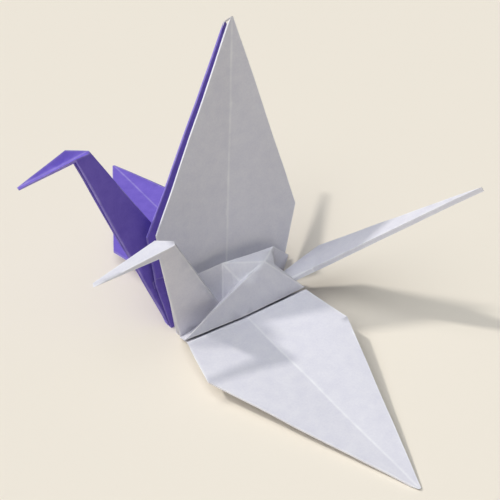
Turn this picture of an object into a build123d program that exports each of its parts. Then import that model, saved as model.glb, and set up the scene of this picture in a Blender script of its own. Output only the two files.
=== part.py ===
from build123d import *
from math import asin, cos, degrees, radians, sin, sqrt, tan
import os

# A joined pair of origami cranes, folded from one sheet twice as long as it is wide.
# A cut parts the sheet into two squares that stay together at one corner; each square
# becomes a crane, and the corner they share is the tip of the two upright wings.

# The sheet
square = 75.0            # side of each square
unit = square / 100      # the places and lengths of a pose are given in hundredths of that side
layer = 0.08             # one paper layer
fold_gap = 0.16          # between the middles of two layers pressed flat
flap_wall = 0.16         # each wall of a neck or tail, several layers pressed together
most_mitre = 2.2         # a sharp fold's edge is no longer than this many wall thicknesses

# Lines of the folded bird base, measured down a wing from its tip
edge_slope = tan(radians(22.5))
narrow_slope = tan(radians(11.25))
shoulder_down = square * narrow_slope / (edge_slope + narrow_slope)
centre_down = square * (1 - sqrt(0.5))
body_down = (centre_down + square * narrow_slope) / (1 + narrow_slope)
hinge_down = square / 2
hinge_half = hinge_down * narrow_slope

# Details that every wing has
tip_cut = 0.3            # blunt end of a wing tip
wedge_start = 0.9        # the under layers start this far below the blunt end
wedge_end = 0.8          # and stop this far short of the body line
seam_half = 0.15         # half of the open seam between the two under layers
crease_drop = 0.5        # how far the centre crease sinks by the body line

# The joined wings meet at this tip; the far tip sits a little behind and below the near one
joint = Vector(4.8, 5.4, 49.3) * unit
joint_step = Vector(-0.53, 1.0, -1.07) * unit

# Where a crane's folds rest on the table, out from its upright wing
fold_step = 0.42         # between one fold line and the next
hinge_x = 0.53 * unit    # middle of the folds, towards the tail
floor_layer = layer / 2

# How the layers of the body, the neck and the tail keep apart
panel_in = 0.45          # the panel over the spread wing stands in from the wing's edge
panel_up = 0.1           # and this far above it
panel_back = 0.6         # the narrow panel stands out from the upright wing
fold_rise = 0.06         # part of a panel's side edge that stays flat above its hinge
spine_half = 0.23        # half of the narrow back of a neck or tail
tail_half = 0.35         # half of the open side of the tail
tail_leave = 0.26        # part of the tail that is still turning as it leaves the body
tail_pinch = 0.35        # part of the body's depth that the tail is wide at its root


class Paper:
    """Folded paper as a surface of flat triangles, later given its thickness."""

    def __init__(self):
        self.points = []
        self.walls = []
        self.faces = []

    def add(self, place, wall=layer):
        self.points.append(place)
        self.walls.append(wall)
        return len(self.points) - 1

    def face(self, *corners):
        for second, third in zip(corners[1:], corners[2:]):
            self.faces.append([corners[0], second, third])

    def edges(self):
        found = {}
        for number, corners in enumerate(self.faces):
            for start, end in zip(corners, corners[1:] + corners[:1]):
                found.setdefault(frozenset((start, end)), []).append((number, start, end))
        return found

    def turn_one_way(self):
        """Turn the triangles over until neighbours run the same way round."""
        neighbours = {}
        for users in self.edges().values():
            if len(users) == 2:
                (one, start, _), (two, other, _) = users
                neighbours.setdefault(one, []).append((two, start == other))
                neighbours.setdefault(two, []).append((one, start == other))
        turned = {0: False}
        waiting = [0]
        while waiting:
            number = waiting.pop()
            for other, clash in neighbours[number]:
                if other not in turned:
                    turned[other] = turned[number] != clash
                    waiting.append(other)
        for number, over in turned.items():
            if over:
                self.faces[number].reverse()

    def normal(self, corners):
        a, b, c = [self.points[corner] for corner in corners]
        return (b - a).cross(c - a).normalized()

    def offsets(self):
        """For each point the step that keeps every wall around it at its thickness."""
        around = [[] for _ in self.points]
        for corners in self.faces:
            for corner in corners:
                around[corner].append(self.normal(corners))
        steps = []
        for place, normals, wall in zip(self.points, around, self.walls):
            middle = normals[0]
            for _ in range(400):
                thinnest = min(normals, key=middle.dot)
                towards = thinnest - middle
                share = -middle.dot(towards)
                if share < 1e-9:
                    break
                middle += towards * min(share / towards.length**2, 1)
            mitre = min(1 / middle.length, most_mitre)
            if place.Z == floor_layer:
                mitre = middle.length / abs(middle.Z)
            steps.append(middle.normalized() * (mitre * wall / 2))
        return steps

    def solid(self):
        self.turn_one_way()
        steps = self.offsets()
        upper = [place + step for place, step in zip(self.points, steps)]
        lower = [place - step for place, step in zip(self.points, steps)]
        triangles = []
        for a, b, c in self.faces:
            triangles.append((upper[a], upper[b], upper[c]))
            triangles.append((lower[c], lower[b], lower[a]))
        for users in self.edges().values():
            if len(users) == 1:
                _, start, end = users[0]
                triangles.append((upper[end], upper[start], lower[start]))
                triangles.append((upper[end], lower[start], lower[end]))
        skin = [Face(Wire.make_polygon(corners, close=True)) for corners in triangles]
        return Solid(Shell(skin))


def half_width(down):
    return min(down * edge_slope, (square - down) * narrow_slope)


def wing(paper, root, tip, smooth, roll=0, droop=0):
    """A wing from its body line to its tip: a smooth side, and two layers folded under it.
    Past its shoulder the half towards the tail hangs down from the crease by droop degrees."""
    along = (tip - root).normalized()
    across = (Vector(1, 0, 0) - along * along.X).normalized()
    across = across.rotate(Axis((0, 0, 0), along), roll)
    up = along.cross(across)
    if up.dot(smooth) < 0:
        up = -up

    def at(down, sideways, lift=0.0):
        hanging = min(1, (body_down - down) / (body_down - shoulder_down))
        hang = hanging * max(sideways, 0) * tan(radians(droop))
        return root + along * (body_down - down) + across * sideways + up * (lift - hang)

    def sunk(down):
        return -crease_drop * down / body_down

    ends = {}
    ends["tip"] = paper.add(at(tip_cut, 0, sunk(tip_cut)))
    ends["root"] = paper.add(at(body_down, 0, sunk(body_down)))
    for name, way in (("head", -1), ("tail", 1)):
        tip_point = paper.add(at(tip_cut, way * half_width(tip_cut)))
        shoulder = paper.add(at(shoulder_down, way * half_width(shoulder_down)))
        root_point = paper.add(at(body_down, way * half_width(body_down)))
        paper.face(ends["tip"], tip_point, shoulder, root_point, ends["root"])
        first = tip_cut + wedge_start
        last = body_down - wedge_end
        under_tip = paper.add(at(first, way * half_width(first), -fold_gap))
        under_shoulder = paper.add(at(shoulder_down, way * half_width(shoulder_down), -fold_gap))
        under_end = paper.add(at(last, way * half_width(last), -fold_gap))
        seam_end = paper.add(at(last, way * seam_half, sunk(last) - fold_gap))
        seam_tip = paper.add(at(first + 1, way * seam_half, sunk(first + 1) - fold_gap))
        paper.face(tip_point, shoulder, under_shoulder, under_tip)
        paper.face(under_tip, under_shoulder, under_end, seam_end, seam_tip)
        ends["tip " + name] = tip_point
        ends["root " + name] = root_point
    return ends


def flap(spine, near, far, flanks):
    """A neck or tail: a near and a far wall that meet at a narrow back. Each list runs from the
    body outwards; the back goes on alone to the point. The flanks are the back's way across."""
    paper = Paper()
    backs = []
    for half in (spine_half, -spine_half):
        backs.append([paper.add(place + flank * half, flap_wall) for place, flank in zip(spine, flanks)])
    for back, edge in zip(backs, (near, far)):
        rim = [paper.add(place, flap_wall) for place in edge]
        paper.face(back[0], rim[0], rim[1], back[1])
        paper.face(back[1], rim[1], back[2])
    for number in (0, 1):
        paper.face(backs[0][number], backs[0][number + 1], backs[1][number + 1], backs[1][number])
    return paper


def heading(way, turn, rise):
    """Unit step towards the head (way -1) or tail (way 1), turned out and raised, in degrees."""
    flat = cos(radians(rise))
    return (way * flat * cos(radians(turn)), flat * sin(radians(turn)), sin(radians(rise)))


def crane(
    paper, side, joint_tip, hinge_out, upright_x, upright_out,
    spread_x, spread_out, spread_height, spread_turn, spread_roll, spread_droop,
    neck_out, neck_height, neck_turn, neck_rise, neck_roll, neck_length,
    head_turn, head_rise, head_length, head_open, head_slant,
    tail_out, tail_height, leave_turn, leave_rise, tail_turn, tail_rise, tail_roll,
    tail_length=43.5, neck_x=3.1, tail_x=3.1,
    apex=(4.8, 5.3, 11.1), ridge_front=(1.2, 4.7, 9.4), ridge_back=(7.2, 5.0, 9.3),
    top_front=(-1.6, 2.5, 11.5), top_back=(8.7, 2.5, 10.9),
):
    """One crane, on the side of the joined wings given by side. Its wings and body are added to
    paper. Places and lengths are in units, angles in degrees; out is away from the upright wings.
    Returns its upright wing's points, its neck and its tail."""

    def step(along):
        x, out, z = along
        return Vector(x, side * out, z)

    def place(x, out, z):
        return step((x, out, z)) * unit

    # The upright wing leans to the shared tip; the spread wing slopes until its tip is on the table.
    reach = body_down
    foot = place(upright_x, upright_out, 0)
    lean = Vector(joint_tip.X - foot.X, joint_tip.Y - foot.Y).length
    upright_root = foot + Vector(0, 0, joint_tip.Z - sqrt(reach**2 - lean**2))
    upright = wing(paper, upright_root, joint_tip, step((0, 1, 0)))
    spread_root = place(spread_x, spread_out, spread_height)
    tip_height = fold_gap + layer
    slope = degrees(asin((tip_height - spread_root.Z) / reach))
    spread_tip = spread_root + step(heading(1, 90 - spread_turn, slope)) * reach
    spread = wing(paper, spread_root, spread_tip, Vector(0, 0, 1), spread_roll, spread_droop)

    # Below the body line each wing runs down to a hinge on the table and turns up again as a body panel.
    panels = {}
    first_fold = hinge_out * unit
    for kind, ends, out, panel_out in (
        ("upright", upright, first_fold, first_fold + fold_step),
        ("spread", spread, first_fold + fold_step * 3, first_fold + fold_step * 2),
    ):
        for name, way in (("head", -1), ("tail", 1)):
            x = hinge_x + way * hinge_half
            panels[kind, "hinge " + name] = paper.add(step((x, out, floor_layer)))
            panels[kind, "panel " + name] = paper.add(step((x, panel_out, floor_layer)))
        fold_head = panels[kind, "hinge head"]
        fold_tail = panels[kind, "hinge tail"]
        paper.face(ends["root"], ends["root head"], fold_head, fold_tail, ends["root tail"])
        paper.face(fold_head, fold_tail, panels[kind, "panel tail"], panels[kind, "panel head"])

    # The body: a peaked panel over the spread wing, a narrow one against the upright wing.
    peak = paper.add(place(*apex))
    ridge = {"head": paper.add(place(*ridge_front)), "tail": paper.add(place(*ridge_back))}
    top = {"head": paper.add(place(*top_front)), "tail": paper.add(place(*top_back))}
    low = {}
    corner = {}
    near = {}
    far = {}
    for name in ("head", "tail"):
        wing_corner = paper.points[spread["root " + name]]
        low[name] = paper.add(wing_corner + step((0, -panel_in, panel_up)))
        back_corner = paper.points[upright["root " + name]]
        corner[name] = paper.add(back_corner + step((0, panel_back, 0)))
        for kind, start, top_end in (("spread", near, low), ("upright", far, corner)):
            foot = paper.points[panels[kind, "panel " + name]]
            start[name] = paper.add(foot + (paper.points[top_end[name]] - foot) * fold_rise)
    low_middle = paper.add(paper.points[spread["root"]] + step((0, -panel_in, panel_up)))
    paper.face(peak, low["head"], low_middle, low["tail"])
    paper.face(
        low_middle, low["head"], near["head"], panels["spread", "panel head"],
        panels["spread", "panel tail"], near["tail"], low["tail"],
    )
    paper.face(peak, top["head"], top["tail"])
    paper.face(
        top["head"], corner["head"], far["head"], panels["upright", "panel head"],
        panels["upright", "panel tail"], far["tail"], corner["tail"], top["tail"],
    )

    # Neck and tail start at points inside the body, where folds draw both panels together.
    roots = {}
    for name, inner_at in (
        ("head", (-neck_x, neck_out, neck_height)),
        ("tail", (tail_x, tail_out, tail_height)),
    ):
        inner = paper.add(place(*inner_at))
        paper.face(peak, ridge[name], low[name])
        paper.face(peak, ridge[name], top[name])
        paper.face(ridge[name], inner, low[name])
        paper.face(low[name], inner, near[name])
        paper.face(ridge[name], inner, top[name])
        paper.face(top[name], inner, corner[name])
        paper.face(corner[name], inner, far[name])
        roots[name] = [paper.points[point] for point in (inner, near[name], far[name])]

    # The neck is a narrow channel, its back towards the body; the head is folded in between its walls.
    start, near_foot, far_foot = roots["head"]
    spine = step(heading(-1, neck_turn, neck_rise))
    base = (near_foot + far_foot) * 0.5 - start
    width = (base - spine * base.dot(spine)).normalized()
    width = width.rotate(Axis((0, 0, 0), spine), neck_roll)
    flank = spine.cross(width)
    if flank.dot(step((0, 1, 0))) < 0:
        flank = -flank
    bend = start + spine * (neck_length * unit)
    head_reach = head_length * unit
    beak = bend + step(heading(-1, head_turn, head_rise)) * head_reach
    front = bend + (width + spine * head_slant) * (head_reach * narrow_slope)
    half_open = flank * (head_open * unit / 2)
    near_rim = (near_foot, front + half_open)
    far_rim = (far_foot, front - half_open)
    neck = flap((start, bend, beak), near_rim, far_rim, (flank, flank, flank))

    # The tail is the same channel, turned half on its side soon after it leaves the body.
    start, near_foot, far_foot = roots["tail"]
    tail_reach = tail_length * unit
    leave = start + step(heading(1, leave_turn, leave_rise)) * (tail_reach * tail_leave)
    spine = step(heading(1, tail_turn, tail_rise))
    end = leave + spine * (tail_reach * (1 - tail_leave))
    sideways = step(heading(1, 90 + tail_turn, 0))
    upward = (Vector(0, 0, 1) - spine * spine.Z).normalized()
    width = upward * -cos(radians(tail_roll)) - sideways * sin(radians(tail_roll))
    flank = upward * -sin(radians(tail_roll)) + sideways * cos(radians(tail_roll))
    rim = leave + width * (tail_reach * (1 - tail_leave) * narrow_slope)
    half_open = flank * tail_half
    near_rim = (start + (near_foot - start) * tail_pinch, rim + half_open)
    far_rim = (start + (far_foot - start) * tail_pinch, rim - half_open)
    half_turned = (step((0, 1, 0)) + flank).normalized()
    tail = flap((start, leave, end), near_rim, far_rim, (half_turned, flank, flank))
    return upright, neck, tail


sheet = Paper()
near_wing, near_neck, near_tail = crane(
    sheet, -1, joint, hinge_out=1.2, upright_x=0.47, upright_out=1.4,
    spread_x=-0.47, spread_out=8.6, spread_height=4.5, spread_turn=0.0, spread_roll=2.0, spread_droop=0.0,
    neck_x=1.84, neck_out=3.69, neck_height=2.98,
    neck_turn=16.0, neck_rise=57.4, neck_roll=-14.8, neck_length=22.9,
    head_turn=-3.1, head_rise=-11.7, head_length=13.4, head_open=3.1, head_slant=0.02,
    tail_out=4.9, tail_height=4.2, leave_turn=11.0, leave_rise=14.0,
    tail_turn=51.8, tail_rise=39.7, tail_roll=92.3, ridge_front=(0.4, 4.9, 8.6),
)
far_wing, far_neck, far_tail = crane(
    sheet, 1, joint + joint_step, hinge_out=0.4, upright_x=0.0, upright_out=1.1,
    spread_x=4.1, spread_out=10.5, spread_height=4.5, spread_turn=7.4, spread_roll=-2.0, spread_droop=12.0,
    neck_out=4.4, neck_height=7.2, neck_turn=4.4, neck_rise=57.1, neck_roll=-20.0, neck_length=30.9,
    head_turn=10.8, head_rise=-18.7, head_length=11.5, head_open=3.15, head_slant=0.82,
    tail_out=4.6, tail_height=5.0, leave_turn=4.0, leave_rise=22.0,
    tail_turn=70.0, tail_rise=22.0, tail_roll=30.0,
)
# The uncut corner bridges the two upright wing tips.
for one, two in (("tip head", "tip"), ("tip", "tip tail")):
    sheet.face(near_wing[one], near_wing[two], far_wing[two], far_wing[one])

cranes = sheet.solid()
for folded in (near_neck, near_tail, far_neck, far_tail):
    cranes += folded.solid()
box = cranes.bounding_box()
cranes = Pos(-(box.min.X + box.max.X) / 2, -(box.min.Y + box.max.Y) / 2, -box.min.Z) * cranes
cranes = cranes.solid()
cranes.label = "cranes"
os.makedirs("parts", exist_ok=True)
export_step(cranes, "parts/cranes.step")
print("cranes", len(cranes.faces()), "faces", round(cranes.volume, 1), "mm3", cranes.is_valid)
print("box", [round(length, 2) for length in tuple(box.size)])
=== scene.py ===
import math

import bmesh
import bpy
from mathutils import Matrix, Vector, noise


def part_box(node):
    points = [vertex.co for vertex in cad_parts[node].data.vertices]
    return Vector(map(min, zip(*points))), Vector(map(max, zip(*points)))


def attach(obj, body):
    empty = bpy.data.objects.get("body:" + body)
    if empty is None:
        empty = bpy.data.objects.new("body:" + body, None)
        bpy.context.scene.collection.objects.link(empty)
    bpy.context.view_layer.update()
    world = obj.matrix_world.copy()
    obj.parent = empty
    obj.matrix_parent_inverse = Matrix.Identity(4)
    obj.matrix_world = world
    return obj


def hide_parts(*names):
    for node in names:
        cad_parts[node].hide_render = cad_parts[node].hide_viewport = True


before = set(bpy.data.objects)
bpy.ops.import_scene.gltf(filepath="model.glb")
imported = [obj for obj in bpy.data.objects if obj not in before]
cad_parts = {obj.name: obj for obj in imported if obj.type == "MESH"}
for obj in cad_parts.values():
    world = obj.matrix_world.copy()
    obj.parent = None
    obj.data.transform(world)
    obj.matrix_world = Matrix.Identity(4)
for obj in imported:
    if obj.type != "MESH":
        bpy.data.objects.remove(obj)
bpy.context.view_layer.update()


# The folded sheet: two cranes from one two-by-one sheet of thin craft paper, slit down the
# middle and folded by hand, so that they stay joined at one wing tip. The sheet is white on
# one face and printed purple on the other: the near crane shows white, the far one purple.

MM = 0.001
weld = 0.001 * MM
sharp_fold = math.radians(27.0)
gentle_fold = math.radians(5.0)
long_crease = 28.0 * MM
grid = 1.5 * MM
far_from_fold = 99.0

sheet_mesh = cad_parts["cranes"].data.copy()
sheet_mesh.name = "folded_sheet"
sheet_mesh.materials.clear()
sheet = bpy.data.objects.new("folded_sheet", sheet_mesh)
bpy.context.scene.collection.objects.link(sheet)

paper = bmesh.new()
paper.from_mesh(sheet_mesh)
bmesh.ops.remove_doubles(paper, verts=paper.verts, dist=weld)
bmesh.ops.triangulate(paper, faces=paper.faces)


def height_over(face, edge):
    """How far a triangle's third corner stands off one of its edges."""
    return 2.0 * face.calc_area() / max(edge.calc_length(), weld)


def is_fold(edge):
    """True on a rim, a sharp fold or the long crease of a wing, and false where the paper only bends."""
    angle = edge.calc_face_angle(0.0)
    return angle > sharp_fold or (angle > gentle_fold and edge.calc_length() > long_crease)


# Each corner carries its distance, in millimetres, from those sides of its own triangle that are
# folds, so that the colour can lighten along the folds however the mesh is cut up later: worn ink on the
# purple face, a painted highlight along the creases of the white face.
fold_distance = paper.loops.layers.float_vector.new("fold_distance")
for face in paper.faces:
    for corner in face.loops:
        distances = []
        for side in face.loops:
            if not is_fold(side.edge):
                distances.append(far_from_fold)
            elif corner.vert in side.edge.verts:
                distances.append(0.0)
            else:
                distances.append(height_over(face, side.edge) / MM)
        corner[fold_distance] = Vector(distances)

# Cut along a grid into small pieces, so that the sheet can cockle a little between its folds.
node_low, node_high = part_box("cranes")
for axis in range(3):
    across = Vector([float(axis == other) for other in range(3)])
    cuts = int((node_high[axis] - node_low[axis]) / grid)
    for cut in range(1, cuts + 1):
        everything = paper.verts[:] + paper.edges[:] + paper.faces[:]
        plane = node_low + across * grid * cut
        bmesh.ops.bisect_plane(paper, geom=everything, dist=weld, plane_co=plane, plane_no=across)
bmesh.ops.triangulate(paper, faces=paper.faces)

# Between its folds the paper bends smoothly: the folds and rims hold, and the rest is eased.
easing_rounds = 12
easing_share = 0.5
on_fold = 0.001
free = []
for vert in paper.verts:
    if all(min(corner[fold_distance]) > on_fold for corner in vert.link_loops):
        free.append(vert)
for _ in range(easing_rounds):
    paper.normal_update()
    eased = []
    for vert in free:
        around = [edge.other_vert(vert).co for edge in vert.link_edges]
        dent = (sum(around, Vector()) / len(around) - vert.co).dot(vert.normal)
        eased.append(vert.co + vert.normal * dent * easing_share)
    for vert, place in zip(free, eased):
        vert.co = place

# The cockle is a broad, shallow wave and a finer one, each given by its depth and its span. The
# seed keeps it the same on every run.
cockle_sizes = ((0.10 * MM, 9.0 * MM), (0.03 * MM, 3.5 * MM))
cockle_seed = 11
noise.seed_set(cockle_seed)
for vert in paper.verts:
    place = vert.co.copy()
    for depth, span in cockle_sizes:
        vert.co += depth * noise.noise_vector(place / span)
    for axis in range(3):
        vert.co[axis] = min(max(vert.co[axis], node_low[axis]), node_high[axis])

# The two cranes stand back to back: a plane between them rises from the floor and leans with
# the upright wings to the joined tip, where the white paper wraps over the purple.
plane_foot = Vector((0.0, -0.72, 6.5)) * MM
plane_top = Vector((0.0, 3.83, 36.95)) * MM
wrap_height = 35.6 * MM
PALE, PURPLE = 0, 1
for face in paper.faces:
    middle = face.calc_center_median()
    rise = (middle.z - plane_foot.z) / (plane_top.z - plane_foot.z)
    plane_y = plane_foot.y + max(rise, 0.0) * (plane_top.y - plane_foot.y)
    is_pale = middle.y < plane_y or middle.z > wrap_height
    face.material_index = PALE if is_pale else PURPLE
    face.smooth = True

paper.to_mesh(sheet_mesh)
paper.free()
sheet_mesh.set_sharp_from_angle(angle=sharp_fold)
even_normals = sheet.modifiers.new("even_normals", "WEIGHTED_NORMAL")
even_normals.keep_sharp = True


def srgb(red, green, blue):
    """A colour read as screen values from 0 to 255, as the renderer's linear values."""
    return tuple(pow((value / 255.0 + 0.055) / 1.055, 2.4) for value in (red, green, blue)) + (1.0,)


def craft_paper(name, colour, shade, fold_wear_and_highlight, fold_line_width, fold_line_most):
    """Thin machine-made paper: cloudy fibre, a fine tooth, and a lighter line along its folds, which is
    worn ink on the purple face and a painted highlight on the white face.
    """
    material = bpy.data.materials.new(name)
    material.use_nodes = True
    nodes = material.node_tree.nodes
    links = material.node_tree.links
    shader = nodes["Principled BSDF"]
    shader.inputs["Specular IOR Level"].default_value = 0.25

    place = nodes.new("ShaderNodeTexCoord")
    cloud = nodes.new("ShaderNodeTexNoise")
    cloud.inputs["Scale"].default_value = 700.0
    cloud.inputs["Detail"].default_value = 3.0
    links.new(place.outputs["Object"], cloud.inputs["Vector"])
    fibre = nodes.new("ShaderNodeTexNoise")
    fibre.inputs["Scale"].default_value = 4200.0
    fibre.inputs["Detail"].default_value = 4.0
    links.new(place.outputs["Object"], fibre.inputs["Vector"])

    mottle = nodes.new("ShaderNodeMix")
    mottle.data_type = "FLOAT"
    mottle.inputs["Factor"].default_value = 0.45
    links.new(cloud.outputs["Fac"], mottle.inputs["A"])
    links.new(fibre.outputs["Fac"], mottle.inputs["B"])
    body = nodes.new("ShaderNodeValToRGB")
    body.color_ramp.elements[0].position = 0.35
    body.color_ramp.elements[0].color = shade
    body.color_ramp.elements[1].position = 0.65
    body.color_ramp.elements[1].color = colour
    links.new(mottle.outputs["Result"], body.inputs["Fac"])

    fold = nodes.new("ShaderNodeAttribute")
    fold.attribute_name = "fold_distance"
    sides = nodes.new("ShaderNodeSeparateXYZ")
    links.new(fold.outputs["Vector"], sides.inputs["Vector"])
    first = nodes.new("ShaderNodeMath")
    first.operation = "MINIMUM"
    links.new(sides.outputs["X"], first.inputs[0])
    links.new(sides.outputs["Y"], first.inputs[1])
    nearest = nodes.new("ShaderNodeMath")
    nearest.operation = "MINIMUM"
    links.new(first.outputs["Value"], nearest.inputs[0])
    links.new(sides.outputs["Z"], nearest.inputs[1])
    # Near a fold the colour turns towards the fold colour: worn ink on the purple face, a painted
    # highlight along the creases of the white face.
    fold_line = nodes.new("ShaderNodeMapRange")
    fold_line.interpolation_type = "SMOOTHSTEP"
    fold_line.inputs["From Min"].default_value = 0.0
    fold_line.inputs["From Max"].default_value = fold_line_width
    fold_line.inputs["To Min"].default_value = fold_line_most
    fold_line.inputs["To Max"].default_value = 0.0
    links.new(nearest.outputs["Value"], fold_line.inputs["Value"])

    patchy = nodes.new("ShaderNodeMath")
    patchy.operation = "MULTIPLY"
    links.new(fold_line.outputs["Result"], patchy.inputs[0])
    links.new(cloud.outputs["Fac"], patchy.inputs[1])
    fold_lined_colour = nodes.new("ShaderNodeMix")
    fold_lined_colour.data_type = "RGBA"
    fold_lined_colour.inputs["B"].default_value = fold_wear_and_highlight
    links.new(patchy.outputs["Value"], fold_lined_colour.inputs["Factor"])
    links.new(body.outputs["Color"], fold_lined_colour.inputs["A"])
    links.new(fold_lined_colour.outputs["Result"], shader.inputs["Base Color"])

    dull = nodes.new("ShaderNodeMapRange")
    dull.inputs["To Min"].default_value = 0.62
    dull.inputs["To Max"].default_value = 0.82
    links.new(fibre.outputs["Fac"], dull.inputs["Value"])
    links.new(dull.outputs["Result"], shader.inputs["Roughness"])

    tooth = nodes.new("ShaderNodeBump")
    tooth.inputs["Strength"].default_value = 0.35
    tooth.inputs["Distance"].default_value = 0.02 * MM
    links.new(mottle.outputs["Result"], tooth.inputs["Height"])
    links.new(tooth.outputs["Normal"], shader.inputs["Normal"])
    return material


# The white face: its lighter fold lines are a painted highlight, where the creases catch the light.
pale_paper = craft_paper(
    "pale_paper",
    colour=srgb(227, 226, 233), shade=srgb(218, 217, 227), fold_wear_and_highlight=srgb(248, 248, 250),
    fold_line_width=0.25, fold_line_most=0.9,
)
# The purple face: its whitish fold lines are ink worn off at the creases.
purple_paper = craft_paper(
    "purple_paper",
    colour=srgb(126, 106, 206), shade=srgb(114, 95, 197), fold_wear_and_highlight=srgb(206, 198, 236),
    fold_line_width=0.22, fold_line_most=0.5,
)
sheet_mesh.materials.append(pale_paper)
sheet_mesh.materials.append(purple_paper)

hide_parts("cranes")
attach(sheet, "root")


# The floor: a plain table top under the cranes, with a dull coat of cream paint. It is flat, and
# wide enough to run on past the edges of the picture.

floor_reach = 6.0
floor_mesh = bpy.data.meshes.new("floor")
floor_corners = [(x * floor_reach, y * floor_reach, 0.0) for x, y in ((-1, -1), (1, -1), (1, 1), (-1, 1))]
floor_mesh.from_pydata(floor_corners, [], [(0, 1, 2, 3)])
floor = bpy.data.objects.new("floor", floor_mesh)
bpy.context.scene.collection.objects.link(floor)
floor_paint = bpy.data.materials.new("floor_paint")
floor_paint.use_nodes = True
floor_shader = floor_paint.node_tree.nodes["Principled BSDF"]
floor_shader.inputs["Base Color"].default_value = srgb(240, 232, 218)
floor_shader.inputs["Roughness"].default_value = 0.85
floor_shader.inputs["Specular IOR Level"].default_value = 0.1
floor_mesh.materials.append(floor_paint)


# The light: a lamp far off to the left and behind, a broad soft one high on the left, and a pale
# ceiling that is brighter overhead than at the sides.

key_azimuth = math.radians(-47.5)
key_height = math.radians(46.0)
key_lamp = bpy.data.lights.new("key_lamp", "SUN")
key_lamp.energy = 1.4
key_lamp.angle = math.radians(4.0)
key_lamp.color = (1.0, 0.97, 0.92)
key = bpy.data.objects.new("key_lamp", key_lamp)
bpy.context.scene.collection.objects.link(key)
key_from = Vector((
    math.sin(key_azimuth) * math.cos(key_height),
    math.cos(key_azimuth) * math.cos(key_height),
    math.sin(key_height),
))
key.rotation_euler = key_from.to_track_quat("Z", "Y").to_euler()

window_lamp = bpy.data.lights.new("window_lamp", "SUN")
window_lamp.energy = 1.85
window_lamp.angle = math.radians(60.0)
window_lamp.color = (0.96, 0.98, 1.0)
window = bpy.data.objects.new("window_lamp", window_lamp)
bpy.context.scene.collection.objects.link(window)
window_from = Vector((-0.50, -0.10, 0.86))
window.rotation_euler = window_from.to_track_quat("Z", "Y").to_euler()

room = bpy.data.worlds.new("room")
room.use_nodes = True
fill = room.node_tree.nodes["Background"]
fill.inputs["Color"].default_value = (0.88, 0.93, 1.0, 1.0)
sky = room.node_tree.nodes.new("ShaderNodeTexCoord")
sky_height = room.node_tree.nodes.new("ShaderNodeSeparateXYZ")
room.node_tree.links.new(sky.outputs["Generated"], sky_height.inputs["Vector"])
ceiling = room.node_tree.nodes.new("ShaderNodeMapRange")
ceiling.inputs["To Min"].default_value = 0.06
ceiling.inputs["To Max"].default_value = 0.26
room.node_tree.links.new(sky_height.outputs["Z"], ceiling.inputs["Value"])
room.node_tree.links.new(ceiling.outputs["Result"], fill.inputs["Strength"])
bpy.context.scene.world = room


# The camera: a long lens held over the side of the pale crane, looking down at the bodies of both
# and turned a little about its own line of sight.

camera_place = Vector((-64.55, -90.64, 84.47)) * MM
camera_aim = Vector((4.86, -0.60, 7.42)) * MM
camera_turn = math.radians(2.57)
camera_lens = bpy.data.cameras.new("camera")
camera_lens.sensor_width = 36.0
camera_lens.lens = 79.96
camera_lens.clip_start = 0.005
camera = bpy.data.objects.new("camera", camera_lens)
bpy.context.scene.collection.objects.link(camera)
camera_look = (camera_aim - camera_place).to_track_quat("-Z", "Y").to_matrix()
camera_look = camera_look @ Matrix.Rotation(camera_turn, 3, "Z")
camera.matrix_world = Matrix.Translation(camera_place) @ camera_look.to_4x4()
bpy.context.scene.camera = camera
bpy.context.scene.view_settings.view_transform = "Standard"


# The scene is brought up to date.

bpy.context.view_layer.update()
